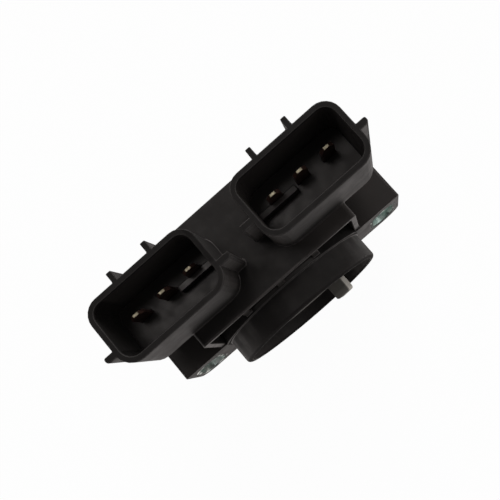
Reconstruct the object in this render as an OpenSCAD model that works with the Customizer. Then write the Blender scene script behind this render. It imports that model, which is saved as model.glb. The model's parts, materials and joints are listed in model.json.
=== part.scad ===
// Throttle position sensor with two plug sockets: a moulded housing, a spring-returned rotor and its tracks.
// Millimetres. +X along the row of sockets, +Y to the back cover, +Z out of the sockets.
// The rotor's axis is Y, and y = 0 is the mounting face.

/* [Mounting side] */
// outer diameter of the pilot collar that enters the throttle body
collar_od = 28; // [27.2:0.2:28.8]
// how far the collar stands out of the mounting face
collar_h = 4.5; // [3.6:0.1:5.4]
// wall of the collar
collar_wall = 1.0; // [0.8:0.1:1.2]
// distance between the two mounting slots
slot_pitch = 39.4; // [39:0.1:39.8]
// width of a mounting slot inside its metal bushing
slot_w = 4.3; // [4.1:0.1:4.5]
// length of a mounting slot inside its metal bushing
slot_len = 10.2; // [9:0.2:10.8]
// wall of a slot bushing
bushing_wall = 0.55; // [0.45:0.05:0.8]
// overall length across the two mounting ears
ears_len = 46.6; // [46.2:0.2:48]
// thickness of an ear, and length of its bushing
ear_t = 7; // [6:0.5:8]
// height of an ear's near edge over the rotor axis
ear_top = 5; // [4:0.5:6]
// depth of an ear's far edge below the rotor axis
ear_low = 10.5; // [10:0.5:12]

/* [Body] */
// width of the middle block
block_w = 30.3; // [30.1:0.1:30.7]
// height of the block's near face over the rotor axis
face_z = 19; // [18.7:0.1:19.5]
// depth of the flat far side below the rotor axis
base_z = 15; // [14.8:0.1:15.6]
// thickness of the body from mounting face to back
body_t = 17; // [16.6:0.2:18.4]
// wall of the skirt around the moat
skirt_wall = 1.0; // [0.8:0.1:1.2]
// depth of the moat beside the collar
moat_depth = 5; // [3:0.5:5.5]
// thickness of the three ribs that bridge the moat
moat_rib = 1.2; // [0.8:0.1:1.6]
// distance between the moat ribs
moat_rib_pitch = 7; // [6:0.5:7.5]
// thickness of the back cover
cover_t = 1.6; // [1.2:0.1:1.8]

/* [Sockets] */
// distance between the middles of the two sockets
socket_pitch = 26.4; // [26:0.1:27]
// outer length of a socket shroud
socket_w = 19.2; // [18.8:0.1:19.6]
// outer height of a socket shroud across the body
socket_h = 10.9; // [10.5:0.1:11.3]
// wall of a shroud
socket_wall = 0.9; // [0.7:0.05:1.1]
// depth of a socket from its rim to its floor
socket_depth = 12; // [11:0.5:13]
// height of the coding rib on a socket's floor, at its inner end
step_h = 2.3; // [1:0.1:3]
// thickness of the outer ribs on a shroud
rib_t = 0.85; // [0.6:0.05:1.2]
// how far the ribs stand out of a shroud's back and outer end
rib_h = 1.6; // [1:0.1:1.9]
// how far the ribs between the two shrouds stand out
inner_rib_h = 2.0; // [1:0.1:2.4]

/* [Terminals] */
// distance between the terminals of one socket
pin_pitch = 5.08; // [4.8:0.02:5.2]
// width of a terminal blade
pin_w = 2.3; // [2:0.1:2.6]
// thickness of a terminal blade
pin_t = 0.64; // [0.6:0.02:0.8]
// length of a blade above the socket floor
pin_len = 6; // [5:0.5:8]

/* [Rotor] */
// how far the drive tab reaches past the collar's rim
tab_out = 1.85; // [1:0.05:3]
// width of the drive tab along the radius
tab_w = 2.9; // [2.4:0.1:3.2]
// thickness of the drive tab
tab_t = 2.0; // [1.6:0.1:2.4]
// distance of the drive tab's middle from the axis
tab_r = 6.6; // [6.2:0.1:7]
// resting angle of the drive tab
tab_angle = 22; // [0:1:40]
// diameter of the rotor's journal
journal_d = 6; // [5.6:0.1:6.2]
// travel of the rotor between its stops, in degrees
travel = 100; // [80:1:110]
// wire diameter of the return spring
spring_wire = 0.7; // [0.5:0.05:0.75]

/* [Hidden] */
$fn = 96;
// small gap between moving neighbours, and how far joined shapes sink into each other
eps = 0.02;
sunk = 0.3;
root = 0.5;

// collar and the recess inside it
collar_r = collar_od / 2;
recess_r = collar_r - collar_wall;
boss_r = collar_r + 1;
boss_low = base_z - 0.4;
// the boss narrows to the collar towards the middle of the moat
ledge_drop = 1.7;
ledge_dip = 0.15;
core_step = 0.25;
rim_round = 0.6;
wall_front = 1.5;
wall_back = 4.5;
skirt_step = 0.3;
skirt_low = 1;
skirt_corner = 0.3;
boss_t = 1;
bush_front = 0.3;

// body block, a little to one side of the rotor axis
body_off = -0.15;
block_l = body_off - block_w / 2;
block_r = body_off + block_w / 2;
edge_r = 0.8;
base_corner = 2;
ear_corner = 3.5;
ear_edge = 0.5;
slot_mid_z = -3.4;
moat_off = -0.3;
moat_rib_front = 0.5;

// sockets
socket_off = -0.4;
socket_y0 = 3.0;
socket_y1 = socket_y0 + socket_h;
floor_z = face_z + 1;
rim_z = floor_z + socket_depth;
shroud_foot = 2;
root_z = floor_z - shroud_foot;
root_r = 3.0;
back_r = 2.7;
step_y = 8.4;
step_len = 7;
step_t = 1;
back_rib_gap = 6.4;
left_rib_shift = 0.13;
right_rib_shift = -0.37;
left_end_rib_y = 6.6;
right_end_rib_y = 8.0;
end_rib_t = 1.0;

left_mid = socket_off - socket_pitch / 2;
right_mid = socket_off + socket_pitch / 2;
rib_tip = 0.15;
rib_slope = 0.3;

// shelf that carries the sockets past the block, long enough for the chamber behind the outermost blades
shelf_low = 9;
shelf_front = 5;
shelf_over = 1.2;
shelf_r_low = 1.5;
chamber_side = 0.67;
chamber_wall = 1.5;
shelf_half = max(socket_w / 2 - shelf_over, pin_pitch + pin_w / 2 + chamber_side + chamber_wall);
shelf_l = left_mid - shelf_half;
shelf_r = right_mid + shelf_half;

// cavity behind the front wall, closed by the cover
cavity_r = 12.8;
ledge = 1.0;
seal_t = 0.4;
cover_y = body_t - cover_t;
chamber_front = 8.2;
chamber_sill = 1.9;
chamber_low = shelf_low + chamber_sill;
chamber_roof = 2.1;
chamber_top = face_z - chamber_roof;
chamber_l = shelf_l + chamber_wall;
chamber_r = shelf_r - chamber_wall;
chamber_round = 1;
neck_half = 8;
cover_gap = 0.05;
cover_inset = 0.4;
cover_border = 1.2;

// terminals and the board that they lie on
pin_y = 9.6;
pin_low = 13.2;
board_y = pin_y + pin_t / 2;
board_t = 1.0;
board_gap = 0.2;
film_t = 0.06;
contact_gap = 0.04;
hole_r = 4.5;
track_in = 6.0;
track_out = 8.6;
track_w = 1.3;
track_lead = 15;
pad_w = 1;
pad_low = chamber_low + 0.5;
position_a = tab_angle + 90;
switch_a = tab_angle + 270;
pin_tip = 1.2;
pin_bevel = 0.5;
land_half = pin_w / 5;

// rotor and what holds it
journal_r = journal_d / 2;
run_gap = 0.03;
bush_r = 4.2;
bush_back = 6.3;
boss_back = 7.4;
inner_boss_r = 5.6;
washer_t = 0.3;
washer_rim = 0.4;
washer_gap = 0.2;
flange_r = 10.4;
flange_front = -2.6;
flange_back = -1.2;
tab_tip = -collar_h - tab_out;
tab_corner = 0.5;
carrier_r = 9.8;
carrier_front = boss_back + washer_t + 0.2;
carrier_back = carrier_front + 1.1;
flat_half = 2.2;
shoulder = 0.9;
end_gap = 0.05;
groove_out = 4.6;
groove_in = 2;
groove_depth = 0.5;
stub_r = 1.6;
stub_out = 0.2;
clip_r = 3.6;
clip_t = 0.35;
hub_r = 5.2;
arm_half = 30;

// return spring, the post that holds its fixed leg and the rotor's peg
coil_r = 6.8;
coil_turns = 2.25;
coil_pitch = 0.8;
coil_steps = 54;
coil_y = wall_front - spring_wire / 2 - eps;
leg_a = 30;
leg_turn = 8;
leg_bend = 1.2;
leg_reach = 12;
free_reach = 9.6;
coil_end_a = leg_a + coil_turns * 360;
post_h = 1.6;
post_reach = 2.6;
post_a0 = 2.1;
post_span = 9.9;
peg_h = 1.5;
peg_in = coil_r + 1.1;
peg_out = coil_r + 2.9;
peg_span = 10;
peg_lead = 12.8;

// wipers: a plate on the carrier and two square fingers
wiper_in = 5.4;
wiper_len = 3.9;
wiper_w = 3.2;
wiper_t = 0.2;
finger_w = 0.8;
finger_t = 0.6;

// stops: a lug on the rotor between two on the housing
lug_in = flange_r - 0.4;
lug_out = recess_r - 0.8;
lug_a0 = 200;
lug_span = 14;
stop_in = flange_r + 0.6;
stop_gap = 0.3;
stop_span = 15;

module black() { color([0.05, 0.05, 0.055]) children(); }
module steel() { color([0.72, 0.73, 0.74]) children(); }
module brass() { color([0.78, 0.6, 0.28]) children(); }
module tan() { color([0.66, 0.6, 0.48]) children(); }

// lays a drawing of x and z flat against y = y0, t thick towards +Y
module slab(y0, t) {
    translate([0, y0 + t, 0]) rotate([90, 0, 0]) linear_extrude(t) children();
}

// turns a profile of radius and y around the rotor axis
module lathe() {
    rotate([-90, 0, 0]) rotate_extrude() children();
}

module disc(r, y0, t) { slab(y0, t) circle(r); }

module tube(r_out, r_in, y0, t) {
    slab(y0, t) difference() { circle(r_out); circle(r_in); }
}

// points of one rounded corner
function corner(x, y, r, a0) = [for (i = [0:6]) [x + r * cos(a0 + i * 15), y + r * sin(a0 + i * 15)]];

// outline with one radius for the low corners and one for the high corners
module outline(x0, x1, y0, y1, r_low, r_high) {
    polygon(concat(
        corner(x1 - r_low, y0 + r_low, r_low, -90),
        corner(x1 - r_high, y1 - r_high, r_high, 0),
        corner(x0 + r_high, y1 - r_high, r_high, 90),
        corner(x0 + r_low, y0 + r_low, r_low, 180)));
}

// wedge of the plane between two angles, less than half a turn apart
module wedge(a0, a1, r) {
    far = 2 * r;
    mid = (a0 + a1) / 2;
    polygon([[0, 0], far * [cos(a0), sin(a0)], far * [cos(mid), sin(mid)], far * [cos(a1), sin(a1)]]);
}

module arc_band(r_in, r_out, a0, a1) {
    intersection() {
        difference() { circle(r_out); circle(r_in); }
        wedge(a0, a1, r_out);
    }
}

// stadium along z, for the mounting slots
module stadium(w, len) {
    square([w, len - w], center = true);
    for (s = [-1, 1]) translate([0, s * (len - w) / 2]) circle(w / 2);
}

module ear_outline() {
    outline(-ears_len / 2, ears_len / 2, -ear_low, ear_top, ear_corner, ear_edge);
}

module cavity_outline(grow) {
    circle(cavity_r + grow);
    outline(chamber_l - grow, chamber_r + grow, chamber_low - grow, chamber_top + grow,
        chamber_round, chamber_round);
    translate([-neck_half - grow, 0]) square([2 * (neck_half + grow), chamber_low + 1]);
}

module shroud_outline(mid) {
    outline(mid - socket_w / 2, mid + socket_w / 2, socket_y0, socket_y1, root_r, back_r);
}

// rib on one end of a shroud, with a cut tip: side is -1 or 1, and top is its high edge
module end_rib(mid, side, top, reach) {
    half = socket_w / 2;
    tip = half + reach;
    low = top - end_rib_t;
    polygon([for (p = [[half - root, top], [tip - rib_tip, top], [tip, top - rib_tip],
        [tip, low + rib_slope], [tip - rib_slope, low], [half - root, low]])
        [mid + side * p[0], p[1]]]);
}

// one socket: inner is the side, -1 or 1, that faces the other socket
module shroud(mid, end_rib_y, inner, rib_shift) {
    half = socket_w / 2;
    difference() {
        union() {
            translate([0, 0, root_z]) linear_extrude(rim_z - root_z) {
                shroud_outline(mid);
                end_rib(mid, -inner, end_rib_y, rib_h);
                end_rib(mid, inner, end_rib_y, inner_rib_h);
                for (s = [-1, 1]) translate([mid + rib_shift + s * back_rib_gap / 2 - rib_t / 2, socket_y1 - root])
                    square([rib_t, rib_h + root]);
            }
        }
        translate([0, 0, floor_z]) linear_extrude(socket_depth + 1)
            outline(mid - half + socket_wall, mid + half - socket_wall, socket_y0 + socket_wall,
                socket_y1 - socket_wall, root_r - socket_wall, back_r - socket_wall);
    }
    // coding rib on the floor, in front of the inner blade
    step_x = inner > 0 ? mid + half - socket_wall - step_len : mid - half + socket_wall;
    translate([step_x - (inner > 0 ? 0 : sunk), step_y, floor_z - sunk])
        cube([step_len + sunk, step_t, step_h + sunk]);
}

module stop_lug(a0) {
    slab(flange_front, wall_front - flange_front + sunk)
        arc_band(stop_in, recess_r + sunk, a0, a0 + stop_span);
}

// what the moat leaves standing around the collar
module moat_core() {
    circle(collar_r + core_step);
    intersection() {
        circle(boss_r);
        translate([0, -ledge_drop]) circle(collar_r + ledge_drop - ledge_dip);
    }
}

module moat() {
    difference() {
        outline(block_l + skirt_wall, block_r - skirt_wall, 0, face_z - skirt_wall, skirt_corner, skirt_corner);
        moat_core();
    }
}

module housing_body() {
    // block behind the near face, round below the collar
    slab(skirt_step, ear_t - skirt_step) {
        intersection() {
            circle(boss_r);
            translate([-boss_r, -boss_low]) square([2 * boss_r, 2 * boss_low]);
        }
        outline(block_l, block_r, -skirt_low, face_z, skirt_corner, edge_r);
    }
    slab(0, boss_t) intersection() {
        circle(boss_r);
        translate([-boss_r, -boss_low]) square([2 * boss_r, 2 * boss_low]);
    }
    slab(ear_t, body_t - ear_t) outline(block_l, block_r, -base_z, face_z, base_corner, edge_r);
    slab(0, ear_t) ear_outline();
    slab(shelf_front, body_t - shelf_front) outline(shelf_l, shelf_r, shelf_low, face_z, shelf_r_low, edge_r);
    // pilot collar with a rounded rim
    lathe() {
        translate([recess_r, -collar_h + rim_round]) square([collar_wall, collar_h - rim_round + 0.5]);
        intersection() {
            translate([collar_r - rim_round, -collar_h + rim_round]) circle(rim_round, $fn = 32);
            translate([recess_r, -collar_h]) square([collar_wall, rim_round]);
        }
        translate([recess_r, -collar_h]) square([collar_wall - rim_round, rim_round]);
    }
}

module housing() {
    black() {
        difference() {
            union() {
                difference() {
                    union() {
                        housing_body();
                        shroud(left_mid, left_end_rib_y, 1, left_rib_shift);
                        shroud(right_mid, right_end_rib_y, -1, right_rib_shift);
                    }
                    // recess inside the collar
                    disc(recess_r, -collar_h - 1, wall_front + collar_h + 1);
                    // cavity for the board, then the seat for seal and cover
                    disc(cavity_r, wall_back, body_t);
                    slab(chamber_front, body_t) cavity_outline(0);
                    slab(cover_y - seal_t, body_t) cavity_outline(ledge);
                    // moat between collar and skirt, then the ribs' fronts cut back a little
                    slab(skirt_step - 1, moat_depth + 1) difference() {
                        moat();
                        for (i = [-1:1]) translate([moat_off + i * moat_rib_pitch - moat_rib / 2, 0])
                            square([moat_rib, face_z]);
                    }
                    slab(moat_rib_front - 1, 1) moat();
                }
                // boss for the bush, standing both ways from the front wall
                tube(inner_boss_r, bush_r, bush_front, boss_back - bush_front);
                stop_lug(lug_a0 - stop_gap - stop_span);
                stop_lug(lug_a0 + lug_span + travel + stop_gap);
                spring_post();
            }
            disc(bush_r, bush_front - 1, boss_back);
            for (s = [-1, 1]) slab(-1, ear_t + 2) translate([s * slot_pitch / 2, slot_mid_z])
                stadium(slot_w + 2 * bushing_wall, slot_len + 2 * bushing_wall);
            for (m = [left_mid, right_mid], i = [-1:1]) translate([m + i * pin_pitch - pin_w / 2, board_y - pin_t, pin_low])
                cube([pin_w, pin_t, face_z]);
        }
    }
}

// post on the recess floor that holds the spring's fixed leg
module spring_post() {
    slab(wall_front - post_h, post_h + sunk)
        arc_band(recess_r - post_reach, recess_r + sunk, leg_a + post_a0, leg_a + post_a0 + post_span);
}

module back_cover() {
    black() difference() {
        slab(cover_y, cover_t) cavity_outline(ledge - cover_gap);
        slab(body_t - cover_inset, 1) cavity_outline(-cover_border);
    }
}

module cover_seal() {
    color([0.2, 0.2, 0.22]) slab(cover_y - seal_t, seal_t) difference() {
        cavity_outline(ledge);
        cavity_outline(0);
    }
}

module slot_bushing(side) {
    steel() slab(0, ear_t) translate([side * slot_pitch / 2, slot_mid_z]) difference() {
        stadium(slot_w + 2 * bushing_wall, slot_len + 2 * bushing_wall);
        stadium(slot_w, slot_len);
    }
}

// flat blade whose tip narrows both ways, its lower end lying on the board
module terminal(x) {
    top = floor_z + pin_len;
    brass() intersection() {
        translate([x, board_y + pin_t, 0]) rotate([90, 0, 0]) linear_extrude(3 * pin_t)
            polygon([[-pin_w / 2, pin_low], [pin_w / 2, pin_low], [pin_w / 2, top - pin_tip],
                [land_half, top], [-land_half, top], [-pin_w / 2, top - pin_tip]]);
        translate([x - pin_w, board_y - pin_t, 0]) rotate([90, 0, 90]) linear_extrude(2 * pin_w)
            polygon([[0, pin_low - 1], [pin_t, pin_low - 1], [pin_t, top - pin_bevel],
                [pin_t * 3 / 4, top + sunk], [pin_t / 4, top + sunk], [0, top - pin_bevel]]);
    }
}

module shaft_bush() { brass() tube(bush_r, journal_r + run_gap, bush_front, bush_back - bush_front); }

module shaft_seal() {
    seal_r = (boss_back - bush_back) / 2;
    color([0.1, 0.1, 0.1]) lathe() translate([bush_r - seal_r, bush_back + seal_r]) circle(seal_r, $fn = 32);
}

module seal_washer() {
    steel() tube(inner_boss_r - washer_rim, journal_r + washer_gap, boss_back, washer_t);
}

// the spring is one wire: a fixed leg, the coil, and a leg that bears on the rotor's peg
function polar(r, a, y) = [r * cos(a), y, r * sin(a)];
spring_path = concat(
    [polar(leg_reach, leg_a, coil_y), polar(coil_r + leg_bend, leg_a, coil_y)],
    [for (i = [0:coil_steps]) polar(coil_r,
        leg_a + leg_turn + i * (coil_turns * 360 - 2 * leg_turn) / coil_steps,
        coil_y - i * coil_turns * coil_pitch / coil_steps)],
    [polar(coil_r + leg_bend, coil_end_a, coil_y - coil_turns * coil_pitch),
        polar(free_reach, coil_end_a, coil_y - coil_turns * coil_pitch)]);
function unit(v) = v / norm(v);
function heading(p, i) = unit(p[min(i + 1, len(p) - 1)] - p[max(i - 1, 0)]);
function wire_ring(c, d, r, sides) = let (side = unit(cross(d, [0, 1, 0])), up = cross(side, d))
    [for (k = [0:sides - 1]) c + r * (side * cos(k * 360 / sides) + up * sin(k * 360 / sides))];

module wire(path, r, sides) {
    n = len(path);
    polyhedron(
        points = [for (i = [0:n - 1]) each wire_ring(path[i], heading(path, i), r, sides)],
        faces = concat(
            [[for (k = [0:sides - 1]) k]],
            [for (i = [0:n - 2], k = [0:sides - 1]) [i * sides + k, (i + 1) * sides + k,
                (i + 1) * sides + (k + 1) % sides, i * sides + (k + 1) % sides]],
            [[for (k = [sides - 1:-1:0]) (n - 1) * sides + k]]));
}

module return_spring() { steel() wire(spring_path, spring_wire / 2, 8); }

// journal with two flats, which turns the carrier with it
module flats() {
    intersection() {
        circle(journal_r);
        square([2 * flat_half, 2 * journal_r + 1], center = true);
    }
}

module rotor() {
    peg_a = coil_end_a - peg_lead;
    tan() {
        difference() {
            union() {
                disc(flange_r, flange_front, flange_back - flange_front);
                slab(flange_front, flange_back - flange_front)
                    arc_band(lug_in, lug_out, lug_a0, lug_a0 + lug_span);
                disc(journal_r + shoulder, flange_back - sunk, bush_front - end_gap - flange_back + sunk);
                disc(journal_r, flange_front + sunk, carrier_front - flange_front - sunk);
                slab(carrier_front - sunk, carrier_back - carrier_front + sunk) flats();
                disc(stub_r, carrier_back - sunk, clip_t + stub_out + sunk);
                // peg that the spring's free leg bears on
                slab(flange_back - sunk, peg_h + sunk) arc_band(peg_in, peg_out, peg_a, peg_a + peg_span);
            }
            // shallow lightening groove around the drive face
            tube(groove_out, groove_in, flange_front - 1, groove_depth + 1);
        }
        rotate([0, -tab_angle, 0]) translate([0, 0, -tab_t / 2]) linear_extrude(tab_t)
            outline(tab_r - tab_w / 2, tab_r + tab_w / 2, tab_tip, flange_front + sunk, tab_corner, sunk);
    }
}

module wiper_carrier() {
    color([0.86, 0.84, 0.78]) slab(carrier_front, carrier_back - carrier_front) difference() {
        union() {
            circle(hub_r);
            for (a = [position_a, switch_a]) arc_band(1, carrier_r, a - arm_half, a + arm_half);
        }
        flats();
    }
}

module carrier_clip() { steel() tube(clip_r, stub_r, carrier_back, clip_t); }

// spring-metal brush: a plate on the carrier and two fingers that reach the tracks
module wiper(angle) {
    tip_y = board_y - film_t - contact_gap;
    brass() rotate([0, -angle, 0]) {
        translate([wiper_in, carrier_back, -wiper_w / 2]) cube([wiper_len, wiper_t, wiper_w]);
        for (r = [track_in, track_out]) translate([r - finger_w / 2, carrier_back + wiper_t / 2, -finger_t / 2])
            cube([finger_w, tip_y - carrier_back - wiper_t / 2, finger_t]);
    }
}

module resistor_board() {
    color([0.9, 0.9, 0.86]) slab(board_y, board_t) difference() {
        cavity_outline(-board_gap);
        circle(hole_r);
    }
}

// a track for each wiper, in two halves, from a little before its rest to a little past its stop
module track(r) {
    half = track_lead + travel / 2;
    for (a = [position_a, switch_a], k = [0, 1])
        arc_band(r - track_w / 2, r + track_w / 2, a - track_lead + k * half, a - track_lead + (k + 1) * half);
}

module resistor_tracks() {
    color([0.12, 0.12, 0.12]) slab(board_y - film_t, film_t) track(track_out);
}

module conductor_tracks() {
    brass() slab(board_y - film_t, film_t) difference() {
        union() {
            track(track_in);
            for (m = [left_mid, right_mid], i = [-1:1]) translate([m + i * pin_pitch - pad_w / 2, pad_low])
                square([pad_w, pin_low - pad_low]);
        }
        circle(hole_r);
    }
}

housing();
back_cover();
cover_seal();
slot_bushing(-1);  // left_slot_bushing
slot_bushing(1);  // right_slot_bushing
terminal(left_mid - pin_pitch);  // left_outer_terminal
terminal(left_mid);  // left_middle_terminal
terminal(left_mid + pin_pitch);  // left_inner_terminal
terminal(right_mid - pin_pitch);  // right_inner_terminal
terminal(right_mid);  // right_middle_terminal
terminal(right_mid + pin_pitch);  // right_outer_terminal
shaft_bush();
shaft_seal();
seal_washer();
return_spring();
resistor_board();
resistor_tracks();
conductor_tracks();
rotor();
wiper_carrier();
carrier_clip();
wiper(position_a);  // position_wiper
wiper(switch_a);  // switch_wiper
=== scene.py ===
"""Looks for the throttle position sensor: materials, light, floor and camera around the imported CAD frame."""

import json
import math

import bpy
from mathutils import Matrix, Vector

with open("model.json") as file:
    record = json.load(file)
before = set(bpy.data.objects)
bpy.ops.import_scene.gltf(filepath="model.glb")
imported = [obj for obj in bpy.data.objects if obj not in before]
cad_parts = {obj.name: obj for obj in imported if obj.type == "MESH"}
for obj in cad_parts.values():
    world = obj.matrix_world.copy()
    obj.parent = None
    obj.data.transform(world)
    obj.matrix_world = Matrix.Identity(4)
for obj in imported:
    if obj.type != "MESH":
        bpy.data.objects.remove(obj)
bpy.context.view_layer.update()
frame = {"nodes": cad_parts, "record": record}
NODES = frame["nodes"]

# Camera: fitted to the photograph, with directions along the row of sockets, towards the collar and ahead
IMAGE_PX = 500
CAMERA_PX = 880.0
SENSOR_MM = 36.0
CAMERA_AT = (0.00714, -0.01668, 0.14942)
ALONG = Vector((0.99838, 0.00098, -0.05692))
ACROSS = Vector((-0.00915, -0.98409, -0.17741))
FORWARD = Vector((-0.05619, 0.17764, -0.98249))
ROLL = math.radians(40.8)

# Light: name, direction towards the lamp, strength, and the angle in degrees that the lamp fills
LAMPS = [
    ("key", (0.51, 0.70, 0.50), 1.75, 34),
    ("side", (0.80, -0.20, 0.56), 0.38, 34),
    ("front", (0.30, -0.60, 0.74), 0.12, 34),
    ("upper_side", (0.45, 0.35, 0.82), 0.34, 34),
    ("top", (-0.11, 0.24, 0.96), 0.42, 14),
]
WORLD_STRENGTH = 0.15

# Floor: it keeps a share of its own shading under the white that camera, mirror and glass rays see
FLOOR_Z = -0.015
FLOOR_SIZE = 6.0
FLOOR_COLOUR = (0.8, 0.8, 0.8, 1)
FLOOR_ROUGH = 0.9
WHITE_SEEN = 0.97
WHITE_MIRRORED = 0.55
WHITE = (1.0, 1.0, 1.0)
WARM = (1.0, 0.93, 0.9)

# Edges: widths of the rounding in metres for the slots that have one
EDGE = {
    "black_plastic": 0.00014,
    "cover_plastic": 0.0001,
    "rotor_plastic": 0.0001,
    "bushing_steel": 0.00012,
    "terminal_brass": 0.00005,
}
EDGE_ANGLE = math.radians(35)
FLAT_ANGLE = math.radians(0.6)
WELD_DISTANCE = 0.000002

# Fades: widths in metres along x, y and z over which the walls of a region fade
PLAIN_FADE = (0.0003, 0.0003, 0.0003)
THIN_FADE = (0.0003, 0.0001, 0.0003)
LONG_FADE = (0.0060, 0.0003, 0.0003)
RING_FADE = (0.0001, 0.0001, 0.0001)
TIP_FADE = (0.00005, 0.00005, 0.00005)

# Regions of the sockets: low corner, high corner and fade of a box in metres, and None leaves an axis open
SOCKET = ((None, 0.0036, 0.0195), (None, 0.0133, 0.0315), PLAIN_FADE)
SOCKET_WALLS = ((None, 0.0036, 0.0209), (None, 0.0133, 0.0315), PLAIN_FADE)
LEFT_END_WALL = ((-0.0228, 0.0036, 0.0209), (-0.0200, 0.0133, 0.0314), PLAIN_FADE)
INNER_END = ((-0.0048, 0.0070, 0.0195), (-0.0037, 0.0142, 0.0322), PLAIN_FADE)
RIGHT_ROOT = ((0.0002, 0.0066, 0.0186), (0.0038, 0.0145, 0.0222), PLAIN_FADE)
CODING_RIB = ((-0.0120, 0.0083, 0.0221), (-0.0045, 0.0095, 0.0226), PLAIN_FADE)
RIMS = ((None, None, 0.0316), (None, None, 0.033), PLAIN_FADE)
TIPS = ((None, None, 0.02592), (None, None, 0.0265), TIP_FADE)

# Regions of the body block, its skirt and the moat
RIGHT_FACE = ((0.0105, 0.0003, 0.0186), (0.0155, 0.0031, 0.0194), LONG_FADE)
SKIRT_TOP = ((-0.0155, 0.0001, 0.0180), (0.0152, 0.0006, 0.0192), THIN_FADE)
SKIRT_LEFT = ((-0.0155, 0.0001, -0.001), (-0.0144, 0.0006, 0.0179), THIN_FADE)
SKIRT_RIGHT = ((0.0141, 0.0001, -0.001), (0.0152, 0.0006, 0.0179), THIN_FADE)
MOAT = ((-0.0142, 0.0001, 0.0002), (0.0139, 0.0053, 0.0179), PLAIN_FADE)
MIDDLE_LEDGE = ((-0.0078, -0.0001, 0.0130), (0.0078, 0.0007, 0.0177), THIN_FADE)
RIB_FRONTS = ((-0.0085, 0.0004, 0.0154), (0.0085, 0.0006, 0.0179), THIN_FADE)

# Regions of the ears, the collar and the rotor
EAR_TOPS = ((None, -0.001, 0.0048), (None, 0.008, 0.0054), PLAIN_FADE)
RING_FACES = ((None, -0.001, None), (None, 0.00008, None), RING_FADE)
COLLAR_RIM = ((None, -0.005, None), (None, -0.0044, None), PLAIN_FADE)
FLANGE = ((None, -0.0034, None), (None, 0.012, None), PLAIN_FADE)
TAB_FRONT = ((0.003, -0.008, None), (0.0068, -0.002, None), PLAIN_FADE)
TAB_ROOT = ((0.003, -0.0052, None), (0.0068, -0.002, None), PLAIN_FADE)

# Regions of a material in the order in which they are laid over each other, each with its roughness there and
# a factor for its colour; most of these factors paint light or shade, as noted on the rows
BLACK_REGIONS = (
    # painted light: socket floors and socket walls lighter
    (SOCKET, 0.4, 1.5),
    (SOCKET_WALLS, 0.5, 3.5),
    # painted shade on the left socket's left end wall
    (LEFT_END_WALL, 0.38, 0.6),
    # rims darker and rougher
    (RIMS, 0.7, 0.5),
    # painted light on the ear tops, which the shrouds shade
    (EAR_TOPS, 0.5, 3.0),
    # painted shade in the moat
    (MOAT, 0.9, 0.4),
    # painted highlights along the skirt's edges, the middle ledge and the moat ribs' fronts, and painted light
    # on the coding rib's top
    (SKIRT_TOP, 0.42, 4.5),
    (SKIRT_LEFT, 0.42, 4.5),
    (SKIRT_RIGHT, 0.42, 3.5),
    (MIDDLE_LEDGE, 0.45, 2.2),
    (RIB_FRONTS, 0.42, 4.5),
    (CODING_RIB, 0.36, 5.0),
    # collar rim darker and rougher
    (COLLAR_RIM, 0.85, 0.6),
    # painted shade on the outer end wall of the left shroud
    (INNER_END, 0.85, 0.4),
    # painted light on the face below the right shroud, lifting the shroud's shadow
    (RIGHT_FACE, 0.45, 5.5),
)
# Regions where the rounded edges are darkened: painted shade on the edges in the sockets, at the left shroud's
# inner end and at the right shroud's root; darker edges on the rims and the collar rim
DARKENED_EDGE_REGIONS = (
    (COLLAR_RIM, 0.6, 0.3),
    (RIMS, 0.6, 0.3),
    (SOCKET, 0.7, 0.1),
    (INNER_END, 0.7, 0.15),
    (RIGHT_ROOT, 0.6, 0.15),
)
# painted shade of the collar on the tab's front and root and on the rotor's flange
ROTOR_REGIONS = (
    (TAB_FRONT, 0.6, 0.3),
    (TAB_ROOT, 0.6, 0.22),
    (FLANGE, 0.6, 0.22),
)


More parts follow.
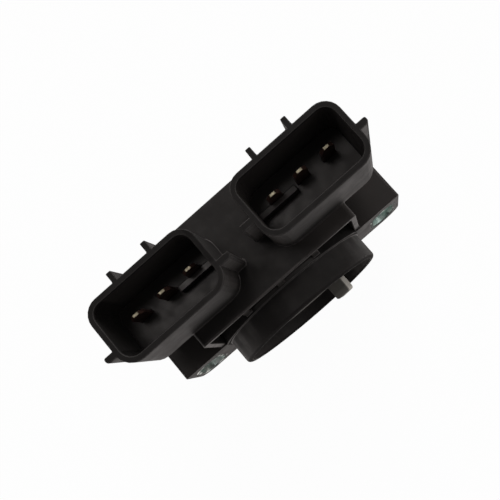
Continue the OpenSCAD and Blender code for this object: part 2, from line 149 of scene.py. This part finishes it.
class Material:
    """A node material with one Principled shader and small helpers that chain its texture nodes."""

    def __init__(self, name):
        self.mat = bpy.data.materials.new(name)
        self.mat.use_nodes = True
        self.tree = self.mat.node_tree
        self.shader = self.tree.nodes["Principled BSDF"]
        coordinates = self.tree.nodes.new("ShaderNodeTexCoord")
        self.place = coordinates.outputs["Object"]

    def link(self, a, b):
        self.tree.links.new(a, b)

    def put(self, **values):
        """Writes plain values into the shader's inputs, with _ for a space in a name."""
        for key, value in values.items():
            self.shader.inputs[key.replace("_", " ")].default_value = value

    def feed(self, socket, value):
        """Gives an input a number, a colour or the output of another node."""
        if isinstance(value, bpy.types.NodeSocket):
            self.link(value, socket)
        else:
            socket.default_value = value if isinstance(value, (int, float)) else (*value, 1.0)

    def noise(self, scale, detail, rough, stretch=None):
        node = self.tree.nodes.new("ShaderNodeTexNoise")
        node.inputs["Scale"].default_value = scale
        node.inputs["Detail"].default_value = detail
        node.inputs["Roughness"].default_value = rough
        source = self.place
        if stretch:
            mapping = self.tree.nodes.new("ShaderNodeMapping")
            mapping.inputs["Scale"].default_value = stretch
            self.link(self.place, mapping.inputs["Vector"])
            source = mapping.outputs["Vector"]
        self.link(source, node.inputs["Vector"])
        return node.outputs["Fac"]

    def ramp(self, factor, low, high, from_low=0.35, from_high=0.65):
        """Maps a factor to a number between low and high."""
        node = self.tree.nodes.new("ShaderNodeMapRange")
        node.inputs["From Min"].default_value = from_low
        node.inputs["From Max"].default_value = from_high
        node.inputs["To Min"].default_value = low
        node.inputs["To Max"].default_value = high
        self.link(factor, node.inputs["Value"])
        return node.outputs["Result"]

    def blend(self, factor, a, b):
        """Mixes two colours by a factor."""
        node = self.tree.nodes.new("ShaderNodeMix")
        node.data_type = "RGBA"
        self.feed(node.inputs[0], factor)
        self.feed(node.inputs[6], a)
        self.feed(node.inputs[7], b)
        return node.outputs[2]

    def math(self, operation, a, b):
        node = self.tree.nodes.new("ShaderNodeMath")
        node.operation = operation
        node.use_clamp = True
        self.feed(node.inputs[0], a)
        self.feed(node.inputs[1], b)
        return node.outputs[0]

    def within(self, low, high, fade):
        """1 inside a region's box and 0 outside it."""
        split = self.tree.nodes.new("ShaderNodeSeparateXYZ")
        self.link(self.place, split.inputs[0])
        total = None
        for axis, (a, b) in enumerate(zip(low, high)):
            if a is None:
                continue
            rise = self.ramp(split.outputs[axis], 0.0, 1.0, a - fade[axis], a)
            fall = self.ramp(split.outputs[axis], 1.0, 0.0, b, b + fade[axis])
            side = self.math("MULTIPLY", rise, fall)
            total = side if total is None else self.math("MULTIPLY", total, side)
        return total

    def dress(self, colour, rough, height, strength, distance):
        """Gives the shader its colour, its roughness and a bump of a height."""
        self.link(colour, self.shader.inputs["Base Color"])
        self.link(rough, self.shader.inputs["Roughness"])
        bump = self.tree.nodes.new("ShaderNodeBump")
        bump.inputs["Strength"].default_value = strength
        bump.inputs["Distance"].default_value = distance
        self.link(height, bump.inputs["Height"])
        self.link(bump.outputs["Normal"], self.shader.inputs["Normal"])
        return self.mat


def moulded_plastic(name, base, lighter, rough, level, tint=WHITE, sheen=0.0, regions=()):
    """Satin moulded plastic: fine spark-eroded grain, faint mottle, specks of dust and uneven gloss."""
    m = Material(name)
    m.put(Specular_IOR_Level=level, Specular_Tint=(*tint, 1), Sheen_Weight=sheen, Sheen_Roughness=0.5,
          Sheen_Tint=(*tint, 1))
    mottle = m.ramp(m.noise(220, 4, 0.6), 0.0, 1.0)
    body = m.blend(mottle, base, lighter)
    dust = m.math("MULTIPLY", m.ramp(m.noise(900, 5, 0.7), 0.0, 1.0, 0.55, 0.75), 0.35)
    body = m.blend(dust, body, tuple(min(1, 2.2 * c + 0.004) for c in lighter))
    gloss = m.ramp(m.noise(340, 4, 0.6), rough - 0.05, rough + 0.06)
    # Each region lays its roughness and its colour, the lighter colour times its factor, over the rest; most
    # of these factors paint light or shade
    for box, inner_rough, factor in regions:
        inside = m.within(*box)
        inner = m.ramp(m.noise(500, 3, 0.5), inner_rough - 0.04, inner_rough + 0.06)
        gloss = m.blend(inside, gloss, inner)
        body = m.blend(inside, body, tuple(factor * c for c in lighter))
    return m.dress(body, gloss, m.noise(9000, 2, 0.6), 0.12, 0.00004)


def plain_metal(name, base, stain, rough, scale=500, spread=(0.35, 0.65), metallic=1.0, dull=None,
                bright=None):
    """Metal with stains of a second colour. Dull is a region in which it is dark and rough but for a few
    spots, and bright is a region and the lighter colour that it has there, a painted highlight."""
    m = Material(name)
    m.put(Metallic=metallic)
    colour = m.blend(m.ramp(m.noise(scale, 4, 0.6), 0.0, 1.0, *spread), base, stain)
    gloss = m.ramp(m.noise(scale * 2.1, 3, 0.5), rough - 0.08, rough + 0.1)
    if dull:
        spots = m.ramp(m.noise(430, 2, 0.4), 1.0, 0.0, 0.57, 0.64)
        share = m.math("MULTIPLY", m.within(*dull), spots)
        colour = m.blend(share, colour, (0.16, 0.18, 0.17))
        gloss = m.blend(share, gloss, (0.8, 0.8, 0.8))
    if bright:
        colour = m.blend(m.within(*bright[0]), colour, bright[1])
    return m.dress(colour, gloss, m.noise(6000, 2, 0.5, (1, 0.15, 1)), 0.1, 0.00003)


# Plastics: darker and lighter colour, roughness and specular level, and keywords
PLASTICS = {
    "black_plastic": ((0.0050, 0.0043, 0.0040), (0.0070, 0.0060, 0.0056), 0.52, 0.26,
                      {"tint": WARM, "sheen": 0.02, "regions": BLACK_REGIONS}),
    # the rounded edges' lighter colour: a painted highlight together with wear
    "black_plastic_edge": ((0.030, 0.027, 0.0255), (0.050, 0.045, 0.043), 0.42, 0.36,
                           {"tint": WARM, "sheen": 0.02, "regions": DARKENED_EDGE_REGIONS}),
    "cover_plastic": ((0.011, 0.010, 0.010), (0.015, 0.014, 0.014), 0.6, 0.3, {}),
    "seal_rubber": ((0.02, 0.02, 0.02), (0.03, 0.03, 0.03), 0.8, 0.2, {}),
    "rotor_plastic": ((0.55, 0.51, 0.45), (0.63, 0.59, 0.53), 0.55, 0.4, {"regions": ROTOR_REGIONS}),
    "carrier_plastic": ((0.62, 0.58, 0.48), (0.68, 0.64, 0.55), 0.5, 0.4, {}),
    "board_ceramic": ((0.75, 0.75, 0.7), (0.8, 0.8, 0.76), 0.45, 0.5, {}),
    "track_carbon": ((0.02, 0.02, 0.02), (0.03, 0.03, 0.03), 0.5, 0.4, {}),
}

# Metals: colour, colour of the stains and roughness, and keywords
METALS = {
    "bushing_steel": ((0.52, 0.66, 0.61), (0.86, 0.88, 0.85), 0.36,
                      {"scale": 420, "spread": (0.42, 0.66), "dull": RING_FACES}),
    "plain_steel": ((0.6, 0.6, 0.6), (0.45, 0.44, 0.42), 0.3, {}),
    # terminals: the dark reddish-brown colours paint the shade of the pins' sides, and the tips' lighter
    # colour is a painted highlight
    "terminal_brass": ((0.15, 0.08, 0.062), (0.09, 0.048, 0.04), 0.45,
                       {"scale": 900, "metallic": 0.7, "bright": (TIPS, (0.3, 0.26, 0.18))}),
    "bush_bronze": ((0.5, 0.33, 0.16), (0.36, 0.22, 0.1), 0.4, {}),
    "wiper_metal": ((0.72, 0.58, 0.34), (0.6, 0.46, 0.26), 0.25, {}),
    "track_metal": ((0.65, 0.6, 0.45), (0.5, 0.46, 0.34), 0.35, {}),
}


def soften(node, width, highlight_and_wear):
    """Rounds a moulded or stamped part's sharp edges, which are slightly lighter where an edge material is
    given: a painted highlight together with wear.
    """
    weld = node.modifiers.new("weld", "WELD")
    weld.merge_threshold = WELD_DISTANCE
    flat = node.modifiers.new("flat", "DECIMATE")
    flat.decimate_type = "DISSOLVE"
    flat.angle_limit = FLAT_ANGLE
    split = node.modifiers.new("split", "TRIANGULATE")
    split.min_vertices = 5
    edge = node.modifiers.new("edge", "BEVEL")
    edge.width = width
    edge.segments = 2
    edge.limit_method = "ANGLE"
    edge.angle_limit = EDGE_ANGLE
    edge.use_clamp_overlap = False
    edge.harden_normals = True
    if highlight_and_wear:
        node.data.materials.append(highlight_and_wear)
        edge.material = 1


def dress_nodes():
    """Gives each solid of the frame the material of its slot and rounds its edges."""
    materials = {name: moulded_plastic(name, *row, **keys) for name, (*row, keys) in PLASTICS.items()}
    materials.update({name: plain_metal(name, *row, **keys) for name, (*row, keys) in METALS.items()})
    for row in frame["record"]["subparts"]:
        node = NODES[row["node"]]
        slot = row["material_slot"]
        node.data.materials.clear()
        node.data.materials.append(materials[slot])
        if slot in EDGE:
            soften(node, EDGE[slot], materials.get(slot + "_edge"))


def white_when_seen(m):
    """Mixes plain white into a material where camera, mirror or glass rays meet it."""
    rays = m.tree.nodes.new("ShaderNodeLightPath").outputs
    seen = m.math("MULTIPLY", rays["Is Camera Ray"], WHITE_SEEN)
    mirrored = m.math("MULTIPLY", rays["Is Glossy Ray"], WHITE_MIRRORED)
    through_glass = m.math("MULTIPLY", rays["Is Transmission Ray"], WHITE_MIRRORED)
    share = m.math("MAXIMUM", m.math("MAXIMUM", seen, mirrored), through_glass)
    white = m.tree.nodes.new("ShaderNodeEmission")
    m.link(m.blend(rays["Is Camera Ray"], WARM, WHITE), white.inputs["Color"])
    mix = m.tree.nodes.new("ShaderNodeMixShader")
    m.link(share, mix.inputs[0])
    m.link(m.shader.outputs[0], mix.inputs[1])
    m.link(white.outputs[0], mix.inputs[2])
    m.link(mix.outputs[0], m.tree.nodes["Material Output"].inputs["Surface"])


def build_floor():
    bpy.ops.mesh.primitive_plane_add(size=FLOOR_SIZE, location=(0, 0, FLOOR_Z))
    floor = bpy.context.object
    floor.name = "floor"
    m = Material("floor_white")
    m.put(Base_Color=FLOOR_COLOUR, Roughness=FLOOR_ROUGH)
    white_when_seen(m)
    floor.data.materials.append(m.mat)


def build_world():
    world = bpy.data.worlds.new("studio")
    bpy.context.scene.world = world
    world.use_nodes = True
    background = world.node_tree.nodes["Background"]
    background.inputs["Color"].default_value = (*WHITE, 1)
    background.inputs["Strength"].default_value = WORLD_STRENGTH


def build_lamps():
    """Wide lamps far away, each in its own direction."""
    for name, direction, strength, spread in LAMPS:
        data = bpy.data.lights.new(name, "SUN")
        data.energy = strength
        data.angle = math.radians(spread)
        lamp = bpy.data.objects.new(name, data)
        bpy.context.scene.collection.objects.link(lamp)
        lamp.rotation_mode = "QUATERNION"
        lamp.rotation_quaternion = Vector(direction).to_track_quat("Z", "Y")


def build_camera():
    data = bpy.data.cameras.new("camera")
    data.sensor_width = SENSOR_MM
    data.lens = CAMERA_PX / IMAGE_PX * SENSOR_MM
    data.clip_start = 0.005
    data.clip_end = 20
    camera = bpy.data.objects.new("camera", data)
    bpy.context.scene.collection.objects.link(camera)
    right = math.cos(ROLL) * ALONG + math.sin(ROLL) * ACROSS
    up = math.sin(ROLL) * ALONG - math.cos(ROLL) * ACROSS
    turn = Matrix((right, up, -FORWARD)).transposed().to_4x4()
    camera.matrix_world = Matrix.Translation(CAMERA_AT) @ turn
    bpy.context.scene.camera = camera


dress_nodes()
build_floor()
build_world()
build_lamps()
build_camera()
bpy.context.scene.view_settings.view_transform = "Standard"
